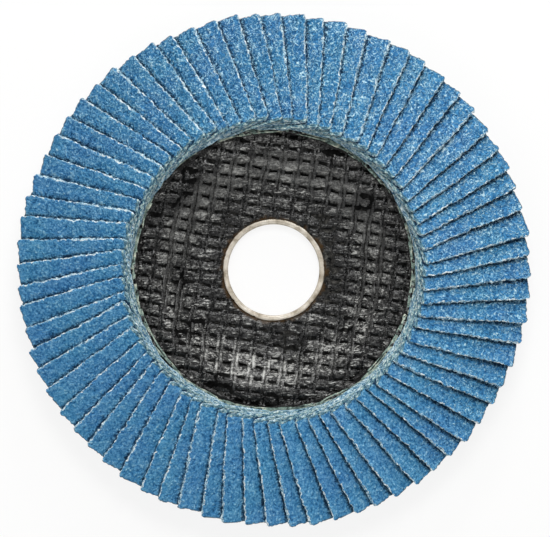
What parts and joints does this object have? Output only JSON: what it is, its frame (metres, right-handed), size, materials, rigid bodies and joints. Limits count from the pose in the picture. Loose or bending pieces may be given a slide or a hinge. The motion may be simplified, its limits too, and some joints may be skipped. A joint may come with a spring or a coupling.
{
  "type": "flap disc",
  "caption": "Conical flap disc for an angle grinder: overlapping blue abrasive cloth flaps on a black woven glass-fibre plate with a steel bore ring.",
  "frame": {"origin": "centre of the bore, in the plane of the hub's back face that the disc lies on", "axes": "+Z along the bore out of the abrasive face; +X and +Y in the plane of the disc, with the first flap's centreline 1.4 degrees from +X"},
  "size_m": [0.1248, 0.125, 0.0165],
  "materials": {
    "abrasive_cloth": "blue zirconia grit on stiff cloth, matt and grainy",
    "glass_fibre_plate": "black phenolic resin pressed over woven glass fibre",
    "resin": "dark cured resin",
    "plated_steel": "satin plated sheet, warm tint"
  },
  "bodies": {
    "root": {"backing_plate": "glass_fibre_plate", "bore_ring": "plated_steel", "resin_bed": "resin", "flap_pair_01": "abrasive_cloth", "flap_pair_02": "abrasive_cloth", "flap_pair_03": "abrasive_cloth", "flap_pair_04": "abrasive_cloth", "flap_pair_05": "abrasive_cloth", "flap_pair_06": "abrasive_cloth", "flap_pair_07": "abrasive_cloth", "flap_pair_08": "abrasive_cloth", "flap_pair_09": "abrasive_cloth", "flap_pair_10": "abrasive_cloth", "flap_pair_11": "abrasive_cloth", "flap_pair_12": "abrasive_cloth", "flap_pair_13": "abrasive_cloth", "flap_pair_14": "abrasive_cloth", "flap_pair_15": "abrasive_cloth", "flap_pair_16": "abrasive_cloth", "flap_pair_17": "abrasive_cloth", "flap_pair_18": "abrasive_cloth", "flap_pair_19": "abrasive_cloth", "flap_pair_20": "abrasive_cloth", "flap_pair_21": "abrasive_cloth", "flap_pair_22": "abrasive_cloth", "flap_pair_23": "abrasive_cloth", "flap_pair_24": "abrasive_cloth", "flap_pair_25": "abrasive_cloth", "flap_pair_26": "abrasive_cloth", "flap_pair_27": "abrasive_cloth", "flap_pair_28": "abrasive_cloth", "flap_pair_29": "abrasive_cloth", "flap_pair_30": "abrasive_cloth", "flap_pair_31": "abrasive_cloth", "flap_pair_32": "abrasive_cloth", "flap_pair_33": "abrasive_cloth", "flap_pair_34": "abrasive_cloth", "flap_pair_35": "abrasive_cloth", "flap_pair_36": "abrasive_cloth"}
  },
  "joints": []
}
